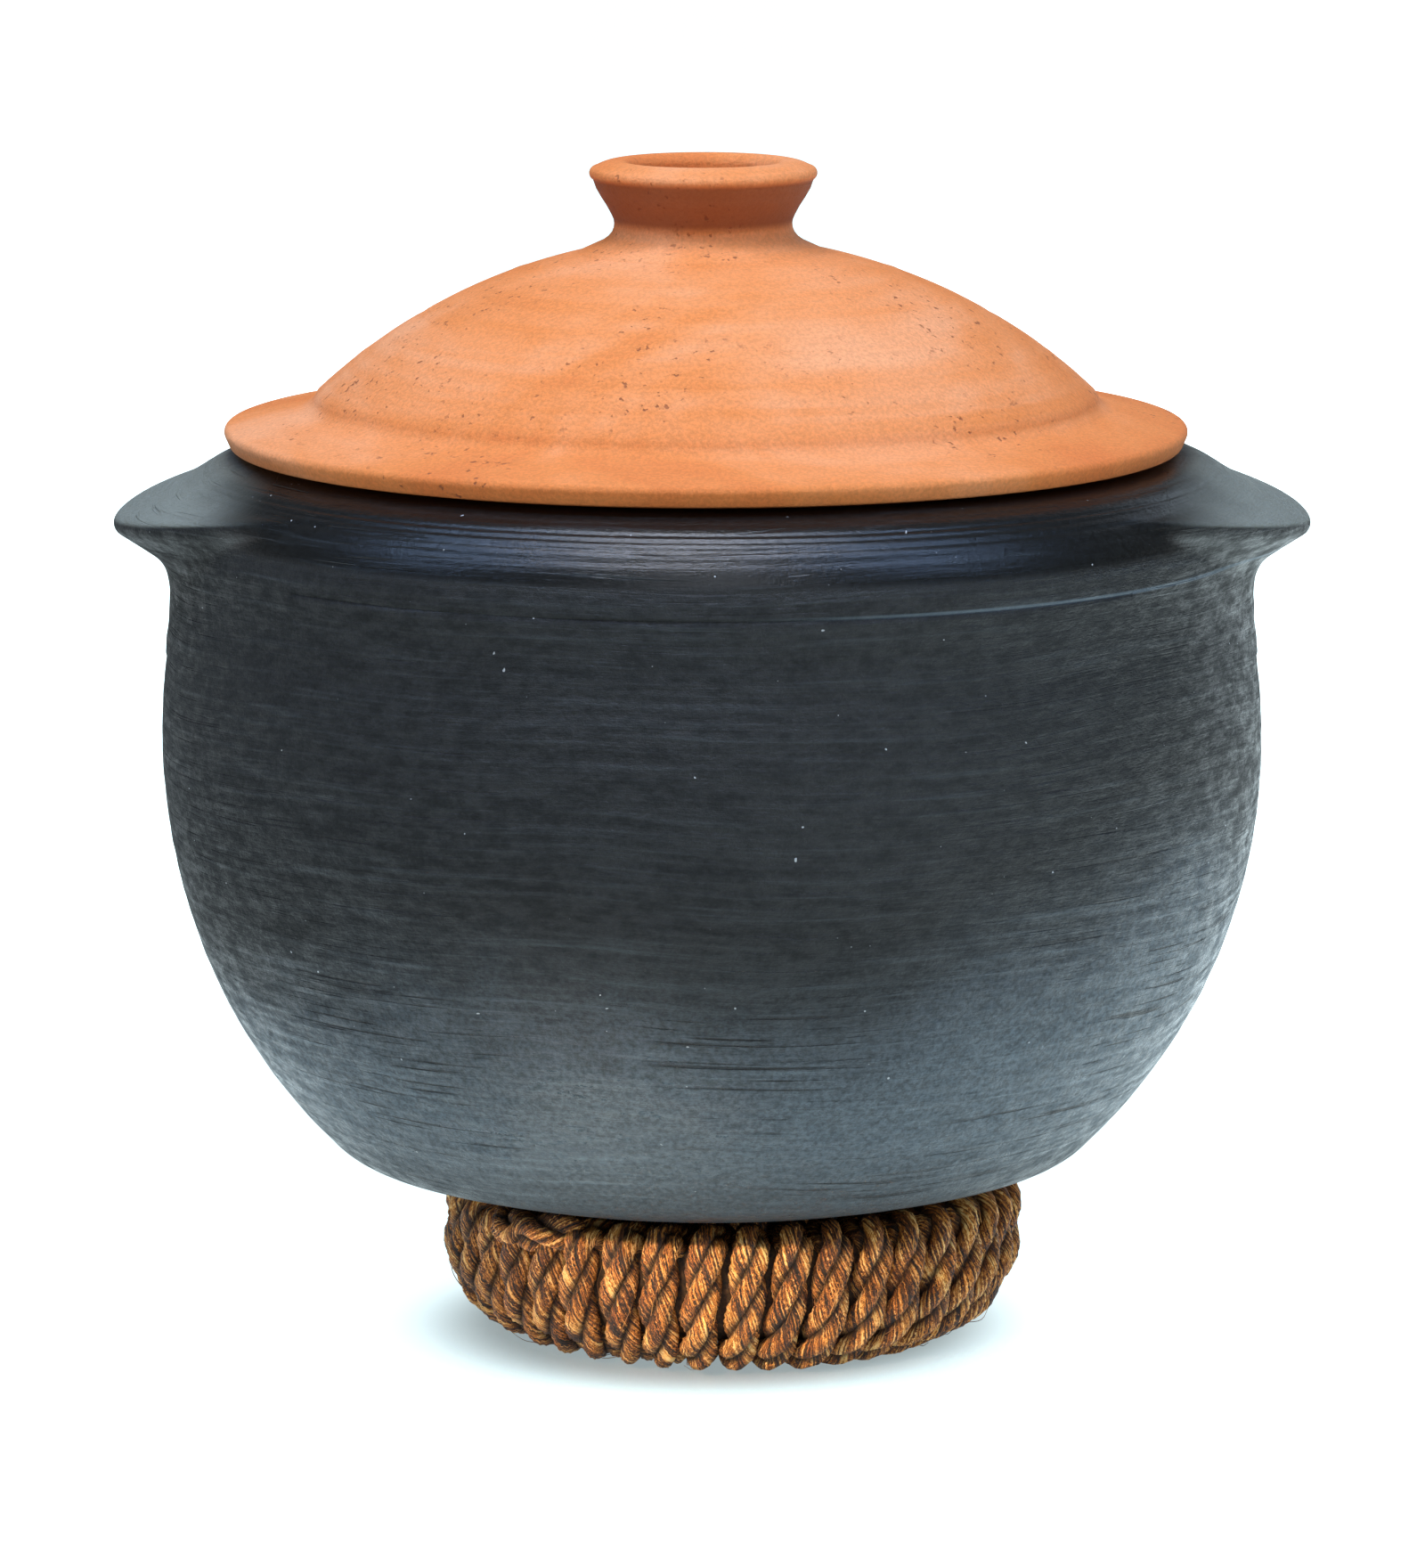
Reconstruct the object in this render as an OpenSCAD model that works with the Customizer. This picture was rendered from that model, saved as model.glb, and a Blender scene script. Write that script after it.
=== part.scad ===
// Lidded cooking pot of black smoked clay, with a terracotta lid, on a rope-wound ring.
// Millimetres. +Z is up, the origin is on the floor under the pot's centre line,
// and the two lugs point along -X and +X.

/* [Pot body] */
// Radius of the belly, the widest place of the wall
belly_r = 130; // [128:0.5:132]
// Height of the belly above the floor
belly_z = 142; // [140:0.5:144]
// Radius of the arc that shapes the wall below the belly
lower_wall_r = 132; // [128:1:136]
// Radius of the arc that shapes the wall above the belly
upper_wall_r = 150; // [146:1:154]
// Angle up that arc at which the wall stops closing in
upper_wall_angle = 10.5; // [9.5:0.1:11]
// Radius of the hollow waist under the shoulder
waist_r = 60; // [50:1:70]
// Height of the lowest point of the rounded base
base_z = 32; // [31:0.25:34]
// Radius of the shallow curve of the base
base_curve_r = 290; // [270:5:320]
// Radius of the rounded heel between the base and the wall
heel_r = 16; // [13:0.5:20]
// Thickness of the clay wall
wall = 8; // [6:0.5:9]

/* [Rolled shoulder and mouth] */
// Height of the seam where the shoulder coil is luted on
seam_z = 189.5; // [188:0.5:191]
// Radius of the rolled shoulder
shoulder_r = 20; // [18:0.5:22]
// Radius of the open mouth
mouth_r = 98; // [96.5:0.5:99]

/* [Lugs] */
// Distance of a lug's tip from the centre line
lug_tip_x = 141; // [138:0.5:144]
// Height of the middle of a lug's rounded edge
lug_edge_z = 194.4; // [193:0.2:196]
// Radius of a lug's outline seen from above
lug_plan_r = 83; // [78:1:90]
// Slope of a lug's top face, in degrees
lug_top_slope = 26; // [23:1:29]
// Slope of a lug's underside, in degrees
lug_under_slope = 32; // [28:1:36]
// Radius of a lug's rounded edge
lug_edge_r = 2.6; // [2.2:0.2:3.4]
// Radius of the hollow between a lug's underside and the wall
lug_hollow_r = 11; // [9:0.5:13]

/* [Lid] */
// Outer radius of the lid's flange
lid_r = 113.2; // [111:0.2:115]
// Sideways place of the lid, which lies loose in the mouth
lid_shift_x = -1.5; // [-1.5:0.5:1.5]
// Radius of the round dome
dome_r = 134; // [132:0.5:136]
// Height of the dome's centre above the floor
dome_centre_z = 127; // [126:0.5:128]
// Thickness of the dome
dome_wall = 7; // [5:0.5:8]
// Radius of the crease between the dome and the flange
crease_r = 93.5; // [92.5:0.5:95]
// Slope of the flange's top face, in degrees
flange_slope = 12; // [9:1:14]
// Radius of the flange's rounded upper edge
flange_edge_r = 3; // [2:0.5:3.5]
// Outer radius of the lip that drops into the mouth
lid_lip_r = 95; // [93:0.5:95.5]
// Thickness of that lip
lid_lip_wall = 6; // [5:0.5:7]
// How far the lip drops below the flange
lid_lip_drop = 8; // [5:0.5:10]

/* [Knob] */
// Height of the knob's top above the floor, which is the height of the whole pot
knob_top_z = 280; // [278:0.5:282]
// Outer radius of the knob's rolled rim
knob_rim_r = 26.8; // [26:0.2:28]
// Radius of the roll of that rim
knob_roll_r = 3.6; // [3.2:0.1:4]
// Radius of the opening in the knob's top
knob_mouth_r = 17.7; // [17:0.1:18.5]
// Radius of the knob's neck
knob_neck_r = 20.9; // [20:0.1:21.5]
// Height of the narrowest place of the neck
knob_neck_z = 264.5; // [264:0.25:265.5]
// Radius of the hollow round the neck
knob_neck_hollow_r = 6; // [5:0.25:6.5]
// Radius of the bottom of the cup inside the knob
knob_cup_r = 14; // [13:0.25:15]
// Lean of the flared neck, in degrees from upright
knob_flare = 35; // [32:1:38]

/* [Rope ring] */
// Outer radius of the ring
ring_r = 69; // [67:0.5:71]
// Radius of the ring's hole
ring_hole_r = 33; // [31:0.5:35]
// Sideways place of the ring, on which the pot stands loose
ring_shift_x = 4; // [0:0.5:5]
// Number of rope turns round the ring
rope_turns = 40; // [30:1:44]
// Thickness of the rope
rope_d = 9; // [8:0.5:10]
// Gap between neighbouring turns, in degrees of the ring
turn_gap = 1; // [0.6:0.1:1.4]

/* [Hidden] */
$fn = 96;
// Space kept between pieces that only rest on each other
rest_gap = 0.3;
// Longest straight step along a rounded outline
arc_step = 3;

// Points along an arc round a centre, from one angle to another
function arc(centre, r, from, to) =
    let (steps = max(3, ceil(abs(to - from) * PI / 180 * r / arc_step)))
    [for (i = [0:steps]) let (a = from + (to - from) * i / steps)
        [centre.x + r * cos(a), centre.y + r * sin(a)]];
function reversed(points) = [for (i = [len(points) - 1:-1:0]) points[i]];
// Angle of the line from one point to another
function bearing(from, to) = atan2(to.y - from.y, to.x - from.x);
// The right-hand crossing of two circles, a centred below b
function crossing(a, ra, b, rb) =
    let (d = norm(b - a), u = (b - a) / d, along = (d * d + ra * ra - rb * rb) / (2 * d))
    a + along * u + sqrt(ra * ra - along * along) * [u.y, -u.x];

// Centres of the arcs that make the pot's outline, each tangent to the next
base_centre = [0, base_z + base_curve_r];
lower_centre = [belly_r - lower_wall_r, belly_z];
upper_centre = [belly_r - upper_wall_r, belly_z];
heel_centre = crossing(lower_centre, lower_wall_r - heel_r, base_centre, base_curve_r - heel_r);
waist_centre = upper_centre + (upper_wall_r + waist_r) * [cos(upper_wall_angle), sin(upper_wall_angle)];
seam_angle = 180 - asin((seam_z - waist_centre.y) / waist_r);
seam_r = waist_centre.x + waist_r * cos(seam_angle);
shoulder_centre = [seam_r - shoulder_r, seam_z + 1.5];
mouth_z = shoulder_centre.y + shoulder_r;
lip_centre = [mouth_r + wall / 2, mouth_z - wall / 2];

// Outline of the body, from the centre line to the seam, with depth measured into the clay
function body_line(depth) =
    let (seam = asin((seam_z - waist_centre.y) / (waist_r + depth)))
    concat(
        arc(base_centre, base_curve_r - depth, -90, bearing(base_centre, heel_centre)),
        arc(heel_centre, heel_r - depth, bearing(base_centre, heel_centre), bearing(lower_centre, heel_centre)),
        arc(lower_centre, lower_wall_r - depth, bearing(lower_centre, heel_centre), 0),
        arc(upper_centre, upper_wall_r - depth, 0, upper_wall_angle),
        arc(waist_centre, waist_r + depth, 180 + upper_wall_angle, 180 - seam)
    );
function shoulder_line(depth) =
    arc(shoulder_centre, shoulder_r - depth, asin((seam_z - shoulder_centre.y) / (shoulder_r - depth)), 90);

// The closed outside of the pot, used to trim what is luted onto it
module pot_envelope() {
    rotate_extrude()
        polygon(concat(body_line(0), shoulder_line(0), [[0, mouth_z]]));
}

module pot_body() {
    color("#33383c")
        rotate_extrude()
            polygon(concat(body_line(0), reversed(body_line(wall))));
}

module pot_rim() {
    color("#3a3f44")
        rotate_extrude()
            polygon(concat(
                shoulder_line(0),
                arc(lip_centre, wall / 2, 90, 270),
                reversed(shoulder_line(wall))
            ));
}

// Outline of a lug on its own upright axis, from the wall out to the edge
lug_axis_x = lug_tip_x - lug_plan_r;
lug_root = seam_r - lug_axis_x;
lug_edge_centre = [lug_plan_r - lug_edge_r, lug_edge_z];
lug_crest = lug_edge_centre + lug_edge_r * [sin(lug_top_slope), cos(lug_top_slope)];
// The top face ends on the shoulder, clear of the lid
lug_brow_x = lug_root - 5;
lug_brow = [lug_brow_x, lug_crest.y + (lug_crest.x - lug_brow_x) * tan(lug_top_slope)];
lug_crown = [lug_root - 14, shoulder_centre.y + shoulder_r - 1];
// The underside runs level with its slope into the hollow, and the hollow dips just into the wall
lug_bite = 0.8;
lug_under_start = lug_edge_centre + lug_edge_r * [sin(lug_under_slope), -cos(lug_under_slope)];
lug_hollow_x = lug_root - lug_bite + lug_hollow_r;
lug_hollow_centre = [
    lug_hollow_x,
    lug_under_start.y - (lug_under_start.x - lug_hollow_x) * tan(lug_under_slope)
        - lug_hollow_r / cos(lug_under_slope)
];

module lug() {
    difference() {
        translate([lug_axis_x, 0, 0])
            rotate_extrude()
                polygon(concat(
                    [[lug_crown.x, lug_hollow_centre.y]],
                    arc(lug_hollow_centre, lug_hollow_r, 180, 90 + lug_under_slope),
                    arc(lug_edge_centre, lug_edge_r, lug_under_slope - 90, 90 - lug_top_slope),
                    [lug_brow, lug_crown]
                ));
        pot_envelope();
    }
}

module lug_left() {
    color("#4a4d49")
        mirror([1, 0, 0])
            lug();
}

module lug_right() {
    color("#4a4d49")
        lug();
}

// Lid: a round dome that turns out into a flange, with a lip under it
flange_z = mouth_z + rest_gap;
function dome_z(r, depth) = dome_centre_z + sqrt(pow(dome_r - depth, 2) - r * r);
function dome_angle(r, depth) = acos(r / (dome_r - depth));
flange_edge_centre = [
    lid_r - flange_edge_r,
    dome_z(crease_r, 0) - (lid_r - crease_r) * tan(flange_slope) - flange_edge_r / 2
];

module lid_dome() {
    dome_centre = [0, dome_centre_z];
    lip_inner_r = lid_lip_r - lid_lip_wall;
    color("#f3a06c")
        translate([lid_shift_x, 0, 0])
            rotate_extrude()
                polygon(concat(
                    arc(dome_centre, dome_r, 90, dome_angle(crease_r, 0)),
                    arc(flange_edge_centre, flange_edge_r, 90 - flange_slope, 0),
                    [[lid_r, flange_z + 1.5], [lid_r - 1.5, flange_z]],
                    [[lid_lip_r, flange_z], [lid_lip_r - 0.5, flange_z - lid_lip_drop]],
                    [[lip_inner_r, flange_z - lid_lip_drop]],
                    arc(dome_centre, dome_r - dome_wall, dome_angle(lip_inner_r, dome_wall), 90)
                ));
}

// Knob: a flared hollow neck with a rolled rim, standing on the dome
knob_roll_z = knob_top_z - knob_roll_r;
knob_outer_roll = [knob_rim_r - knob_roll_r, knob_roll_z];
knob_inner_roll = [knob_mouth_r + knob_roll_r, knob_roll_z];

module lid_knob() {
    neck_centre = [knob_neck_r + knob_neck_hollow_r, knob_neck_z];
    base_z = dome_centre_z + dome_r - 8;
    color("#e8905a")
        translate([lid_shift_x, 0, 0])
            difference() {
                rotate_extrude()
                    polygon(concat(
                        [[neck_centre.x - 2.5, base_z]],
                        arc(neck_centre, knob_neck_hollow_r, 236, 180 - knob_flare),
                        arc(knob_outer_roll, knob_roll_r, -knob_flare, 90),
                        arc(knob_inner_roll, knob_roll_r, 90, 200),
                        [[knob_cup_r + 0.6, knob_neck_z + 2], [knob_cup_r, base_z]]
                    ));
                translate([0, 0, dome_centre_z])
                    sphere(r = dome_r);
            }
}

// Rope ring: a round core, closely wound with one length of rope
ring_mid_r = (ring_r + ring_hole_r) / 2;
core_r = (ring_r - ring_hole_r) / 2 - rope_d;
core_z = core_r + rope_d + 0.5;
outer_bottom_r = 19;
inner_bottom_r = 12;
top_corner_r = 8;
ring_outer_z = 40;
ring_inner_z = 36;

// Cross-section of one turn, flat where it stands, round the core
module turn_section() {
    difference() {
        polygon(concat(
            arc([ring_r - outer_bottom_r, outer_bottom_r], outer_bottom_r, -90, 0),
            arc([ring_r - top_corner_r, ring_outer_z - top_corner_r], top_corner_r, 0, 75),
            arc([ring_hole_r + top_corner_r, ring_inner_z - top_corner_r], top_corner_r, 105, 180),
            arc([ring_hole_r + inner_bottom_r, inner_bottom_r], inner_bottom_r, 180, 270)
        ));
        translate([ring_mid_r, core_z])
            circle(r = core_r);
    }
}

module ring_core() {
    color("#8a6a3c")
        translate([ring_shift_x, 0, 0])
            rotate_extrude()
                translate([ring_mid_r, core_z])
                    circle(r = core_r);
}

// The pot's rounded base has pressed its seat into every turn
module rope_winding() {
    pitch = 360 / rope_turns;
    color("#7a4a22")
        for (turn = [0:rope_turns - 1])
            difference() {
                translate([ring_shift_x, 0, 0])
                    rotate([0, 0, (turn - 0.5) * pitch + turn_gap / 2])
                        rotate_extrude(angle = pitch - turn_gap)
                            turn_section();
                translate([0, 0, base_centre.y])
                    sphere(r = base_curve_r + rest_gap);
            }
}

pot_body();
pot_rim();
lug_left();
lug_right();
lid_dome();
lid_knob();
ring_core();
rope_winding();
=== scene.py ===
import math
import random

import bmesh
import bpy
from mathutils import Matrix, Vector, noise


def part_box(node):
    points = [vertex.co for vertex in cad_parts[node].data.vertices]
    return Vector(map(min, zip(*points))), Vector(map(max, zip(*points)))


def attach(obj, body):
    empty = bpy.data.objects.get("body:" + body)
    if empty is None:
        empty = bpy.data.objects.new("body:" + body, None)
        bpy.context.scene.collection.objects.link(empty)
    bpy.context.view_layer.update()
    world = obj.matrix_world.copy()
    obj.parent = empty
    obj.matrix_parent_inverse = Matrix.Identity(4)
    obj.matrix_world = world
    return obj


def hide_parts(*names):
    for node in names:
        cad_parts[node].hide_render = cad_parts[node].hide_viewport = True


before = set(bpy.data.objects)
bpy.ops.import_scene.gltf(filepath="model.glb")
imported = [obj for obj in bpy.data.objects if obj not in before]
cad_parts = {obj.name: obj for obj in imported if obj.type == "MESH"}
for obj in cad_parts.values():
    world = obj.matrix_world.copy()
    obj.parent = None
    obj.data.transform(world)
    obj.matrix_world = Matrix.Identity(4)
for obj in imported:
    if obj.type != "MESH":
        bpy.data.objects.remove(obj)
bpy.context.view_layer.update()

MM = 0.001


# ---------------------------------------------------------------- sizes, in mm, from the frame

def size_of(node):
    """Lowest and highest corner of a CAD node, in millimetres."""
    low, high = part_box(node)
    return low / MM, high / MM


body_low, body_high = size_of("pot_body")
rim_low, rim_high = size_of("pot_rim")
_, lug_high = size_of("lug_right")
lid_low, lid_high = size_of("lid_dome")
_, knob_high = size_of("lid_knob")
ring_low, ring_high = size_of("rope_winding")

BELLY_R = body_high.y
BELLY_Z = 142.0
BASE_Z = body_low.z
SEAM_Z = rim_low.z
MOUTH_Z = rim_high.z
WALL = 8.0
LOWER_WALL_R = 132.0
UPPER_WALL_R = 150.0
UPPER_WALL_ANGLE = 10.5
WAIST_R = 60.0
BASE_CURVE_R = 290.0
HEEL_R = 16.0
SHOULDER_R = 20.0
MOUTH_R = 98.0

LID_X = (lid_low.x + lid_high.x) / 2
LID_R = lid_high.y
LIP_DROP = 8.0
FLANGE_Z = lid_low.z + LIP_DROP
DOME_R = 134.0
DOME_Z = lid_high.z - DOME_R
DOME_WALL = 7.0
CREASE_R = 93.5
FLANGE_SLOPE = 12.0

# The rope lies a little further to the right than the CAD ring, in mm
ROPE_ASIDE = 0.8
RING_X = (ring_low.x + ring_high.x) / 2 + ROPE_ASIDE
RING_R = ring_high.y
RING_HOLE_R = 33.0
ROPE_D = 9.0
TURNS = 40


# ---------------------------------------------------------------- outlines

def arc(centre, r, start, end, step=1.5):
    """Points of (radius, height) along an arc, from one angle to another, in degrees."""
    count = max(3, math.ceil(abs(math.radians(end - start)) * r / step))
    angles = [math.radians(start + (end - start) * i / count) for i in range(count + 1)]
    return [(centre[0] + r * math.cos(a), centre[1] + r * math.sin(a)) for a in angles]


def bearing(a, b):
    """Angle of the line from a to b, in degrees."""
    return math.degrees(math.atan2(b[1] - a[1], b[0] - a[0]))


def crossing(a, ra, b, rb):
    """The right-hand crossing of two circles, a centred below b."""
    dx, dz = b[0] - a[0], b[1] - a[1]
    apart = math.hypot(dx, dz)
    along = (apart ** 2 + ra ** 2 - rb ** 2) / (2 * apart)
    aside = math.sqrt(ra ** 2 - along ** 2)
    return (a[0] + (along * dx + aside * dz) / apart, a[1] + (along * dz - aside * dx) / apart)


def without_doubles(points):
    """The points with each one's near double left out."""
    return [p for i, p in enumerate(points) if i == 0 or math.dist(p, points[i - 1]) > 0.02]


BASE_CENTRE = (0.0, BASE_Z + BASE_CURVE_R)
LOWER_CENTRE = (BELLY_R - LOWER_WALL_R, BELLY_Z)
UPPER_CENTRE = (BELLY_R - UPPER_WALL_R, BELLY_Z)
HEEL_CENTRE = crossing(LOWER_CENTRE, LOWER_WALL_R - HEEL_R, BASE_CENTRE, BASE_CURVE_R - HEEL_R)
TURN = math.radians(UPPER_WALL_ANGLE)
WAIST_CENTRE = (
    UPPER_CENTRE[0] + (UPPER_WALL_R + WAIST_R) * math.cos(TURN),
    UPPER_CENTRE[1] + (UPPER_WALL_R + WAIST_R) * math.sin(TURN),
)
SEAM_R = WAIST_CENTRE[0] - math.sqrt(WAIST_R ** 2 - (SEAM_Z - WAIST_CENTRE[1]) ** 2)
SHOULDER_CENTRE = (SEAM_R - SHOULDER_R, MOUTH_Z - SHOULDER_R)


def body_line(depth, step):
    """The bowl's outline from the centre line up to the seam, depth mm into the clay."""
    seam = math.degrees(math.asin((SEAM_Z - WAIST_CENTRE[1]) / (WAIST_R + depth)))
    heel_start = bearing(BASE_CENTRE, HEEL_CENTRE)
    heel_end = bearing(LOWER_CENTRE, HEEL_CENTRE)
    return without_doubles(
        arc(BASE_CENTRE, BASE_CURVE_R - depth, -90, heel_start, step)
        + arc(HEEL_CENTRE, HEEL_R - depth, heel_start, heel_end, step)
        + arc(LOWER_CENTRE, LOWER_WALL_R - depth, heel_end, 0, step)
        + arc(UPPER_CENTRE, UPPER_WALL_R - depth, 0, UPPER_WALL_ANGLE, step)
        + arc(WAIST_CENTRE, WAIST_R + depth, 180 + UPPER_WALL_ANGLE, 180 - seam, step)
    )


def shoulder_line(depth, step):
    """The rolled shoulder's outline from the seam to its crown, depth mm into the clay."""
    start = math.degrees(math.asin((SEAM_Z - SHOULDER_CENTRE[1]) / (SHOULDER_R - depth)))
    return arc(SHOULDER_CENTRE, SHOULDER_R - depth, start, 90, step)


# ---------------------------------------------------------------- mesh tools

def finished(name, bm, body, slot, material, *nodes):
    """Makes a piece of a bmesh in metres, in its place, riding on its body."""
    mesh = bpy.data.meshes.new(name)
    bm.to_mesh(mesh)
    bm.free()
    for face in mesh.polygons:
        face.use_smooth = True
    piece = bpy.data.objects.new(name, mesh)
    bpy.context.scene.collection.objects.link(piece)
    mesh.materials.append(material)
    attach(piece, body)
    if nodes:
        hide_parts(*nodes)
    return piece


def spun(outline, steps=288, closed=True):
    """One full turn of an outline of (radius, height) points in mm, as a bmesh in metres."""
    bm = bmesh.new()
    points = [bm.verts.new((r * MM, 0, z * MM)) for r, z in outline]
    edges = [bm.edges.new(pair) for pair in zip(points, points[1:])]
    if closed and outline[0][0] > 0.01:
        edges.append(bm.edges.new((points[-1], points[0])))
    bmesh.ops.spin(bm, geom=points + edges, cent=(0, 0, 0), axis=(0, 0, 1),
                   angle=math.tau, steps=steps, use_merge=True)
    bmesh.ops.remove_doubles(bm, verts=bm.verts, dist=1e-7)
    bmesh.ops.recalc_face_normals(bm, faces=bm.faces)
    return bm


def hand_shaped(bm, amount, seed=0.0):
    """Pushes a spun shape in and out a little, sideways only, as hands leave it."""
    for vert in bm.verts:
        co = vert.co
        reach = math.hypot(co.x, co.y)
        if reach < 0.004:
            continue
        slow = noise.noise(Vector((co.x * 11 + seed, co.y * 11, co.z * 14)))
        bands = noise.noise(Vector((co.x * 16, co.y * 16 + seed, co.z * 260)))
        push = amount * MM * (slow + 0.22 * bands) * min(1.0, reach / 0.05)
        vert.co.x += co.x / reach * push
        vert.co.y += co.y / reach * push


def grooved(outline, grooves):
    """Presses shallow turned grooves into an outline: each is (arc length from its start, width, depth)."""
    walked = [0.0]
    for a, b in zip(outline, outline[1:]):
        walked.append(walked[-1] + math.dist(a, b))
    made = []
    for i, (r, z) in enumerate(outline):
        before, after = outline[max(i - 1, 0)], outline[min(i + 1, len(outline) - 1)]
        along = (after[0] - before[0], after[1] - before[1])
        long = math.hypot(*along) or 1.0
        dent = sum(depth * math.exp(-((walked[i] - at) / width) ** 2) for at, width, depth in grooves)
        made.append((r - along[1] / long * dent, z + along[0] / long * dent))
    return made


# ---------------------------------------------------------------- materials

def linear(code):
    """An sRGB hex colour as linear RGBA."""
    parts = [int(code[i:i + 2], 16) / 255 for i in (1, 3, 5)]
    return [p / 12.92 if p <= 0.04045 else ((p + 0.055) / 1.055) ** 2.4 for p in parts] + [1.0]


def add(tree, kind, links=None, stops=None, **settings):
    """Adds a shader node: links maps a socket to a value or to another node's output."""
    made = tree.nodes.new(kind)
    for name, value in settings.items():
        setattr(made, name, value)
    for socket, value in (links or {}).items():
        if isinstance(value, bpy.types.NodeSocket):
            tree.links.new(value, made.inputs[socket])
        else:
            made.inputs[socket].default_value = value
    if stops:
        ramp = made.color_ramp
        while len(ramp.elements) < len(stops):
            ramp.elements.new(1.0)
        for element, (place, colour) in zip(ramp.elements, stops):
            element.position = place
            element.color = linear(colour)
    return made


def new_material(name):
    made = bpy.data.materials.new(name)
    made.use_nodes = True
    made.node_tree.nodes.clear()
    return made, made.node_tree


def fade(value, low, high, start=0.0, end=1.0):
    """What takes a value from start to end as it goes from low to high."""
    return {"Value": value, "From Min": low, "From Max": high, "To Min": start, "To Max": end}


# Fades have soft ends
SOFT = {"interpolation_type": "SMOOTHSTEP"}


def black_clay():
    """Smoke-fired black earthenware, burnished with a stone in level strokes.

    The strokes leave a soft, streaky sheen on a nearly black ground. The smoke lies thickest on the
    upper wall, and thins to slate grey below.
    """
    made, tree = new_material("burnished_smoked_black_clay")
    geometry = add(tree, "ShaderNodeTexCoord")
    place = geometry.outputs["Object"]
    apart = add(tree, "ShaderNodeSeparateXYZ", {"Vector": place})
    # Smoke clouds of 60 to 120 mm
    clouds = add(tree, "ShaderNodeTexNoise", {
        "Vector": place, "Scale": 9.0, "Detail": 4.0, "Roughness": 0.55, "Distortion": 0.6}).outputs["Fac"]
    smoke_height = add(tree, "ShaderNodeMath", {0: clouds, 1: 0.07, 2: apart.outputs["Z"]},
                       operation="MULTIPLY_ADD").outputs[0]
    leant = add(tree, "ShaderNodeMath", {0: apart.outputs["X"], 1: -0.16, 2: smoke_height},
                operation="MULTIPLY_ADD").outputs[0]
    soot = add(tree, "ShaderNodeMapRange", fade(leant, 0.098, 0.182), **SOFT).outputs[0]
    ground = add(tree, "ShaderNodeValToRGB", {"Fac": soot}, stops=[
        (0.0, "#3f484f"), (0.15, "#3b444b"), (0.35, "#30373d"),
        (0.55, "#1d2124"), (0.8, "#0c0d0d"), (1.0, "#0e1010")])
    # The colour darkens towards the bottom of the bowl
    darker_toward_bottom = add(
        tree, "ShaderNodeMapRange", fade(apart.outputs["Z"], 0.068, 0.038, 0.0, 0.85), **SOFT).outputs[0]
    ground = add(tree, "ShaderNodeMix", {"Factor": darker_toward_bottom, "A": ground.outputs[0], "B": linear("#101417")},
                 data_type="RGBA").outputs["Result"]
    # The stone's strokes wander a few millimetres up and down
    wander = add(tree, "ShaderNodeTexNoise", {
        "Vector": place, "Scale": 8.0, "Detail": 1.0, "Roughness": 0.5}).outputs["Fac"]
    rise = add(tree, "ShaderNodeMath", {0: wander, 1: 0.013}, operation="MULTIPLY").outputs[0]
    shift = add(tree, "ShaderNodeCombineXYZ", {"Z": rise}).outputs[0]
    waved = add(tree, "ShaderNodeVectorMath", {0: place, 1: shift}, operation="ADD").outputs[0]
    # Strokes are about 70 mm long and 2 mm high
    long_way = add(tree, "ShaderNodeMapping", {"Vector": waved, "Scale": (18, 18, 600)})
    strokes = add(tree, "ShaderNodeTexNoise", {
        "Vector": long_way.outputs[0], "Scale": 1.0, "Detail": 6.0, "Roughness": 0.7}).outputs["Fac"]
    # Scratches from grit under the stone: 40 mm long and half a millimetre high, in patches
    thin = add(tree, "ShaderNodeMapping", {
        "Vector": waved, "Rotation": (0.03, 0.05, 0.0), "Scale": (24, 24, 1300)})
    scratches = add(tree, "ShaderNodeTexNoise", {
        "Vector": thin.outputs[0], "Scale": 1.0, "Detail": 2.0, "Roughness": 0.5}).outputs["Fac"]
    scratched = add(tree, "ShaderNodeMapRange", fade(scratches, 0.60, 0.70), **SOFT).outputs[0]
    rubbed = add(tree, "ShaderNodeTexNoise", {"Vector": place, "Scale": 17.0, "Detail": 2.0}).outputs["Fac"]
    patch = add(tree, "ShaderNodeMapRange", fade(rubbed, 0.48, 0.62), **SOFT).outputs[0]
    dark_line = add(tree, "ShaderNodeMath", {0: scratched, 1: patch}, operation="MULTIPLY").outputs[0]
    # Grains of 0.7 to 1.5 mm in the clay
    grit = add(tree, "ShaderNodeTexNoise", {
        "Vector": place, "Scale": 760.0, "Detail": 4.0, "Roughness": 0.7}).outputs["Fac"]
    flecks = add(tree, "ShaderNodeMapRange", fade(grit, 0.32, 0.7, 0.55, 1.7), **SOFT).outputs[0]
    grained = add(tree, "ShaderNodeMix", {"Factor": 1.0, "A": ground, "B": flecks},
                  data_type="RGBA", blend_type="MULTIPLY").outputs["Result"]
    # The strokes are painted paler, palest where the smoke is thin: partly the clay's own tone, partly a
    # painted sheen of the burnish
    pale = add(tree, "ShaderNodeMath", {
        0: add(tree, "ShaderNodeMapRange", fade(strokes, 0.52, 0.74), **SOFT).outputs[0],
        1: add(tree, "ShaderNodeMapRange", fade(soot, 0.1, 0.9, 0.42, 0.10), **SOFT).outputs[0]},
        operation="MULTIPLY").outputs[0]
    streaked_with_sheen = add(tree, "ShaderNodeMix", {
        "Factor": pale, "A": grained, "B": linear("#66747d")},
        data_type="RGBA").outputs["Result"]
    lined = add(tree, "ShaderNodeMix", {
        "Factor": dark_line, "A": streaked_with_sheen, "B": linear("#0c0c0e")}, data_type="RGBA").outputs["Result"]
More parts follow.
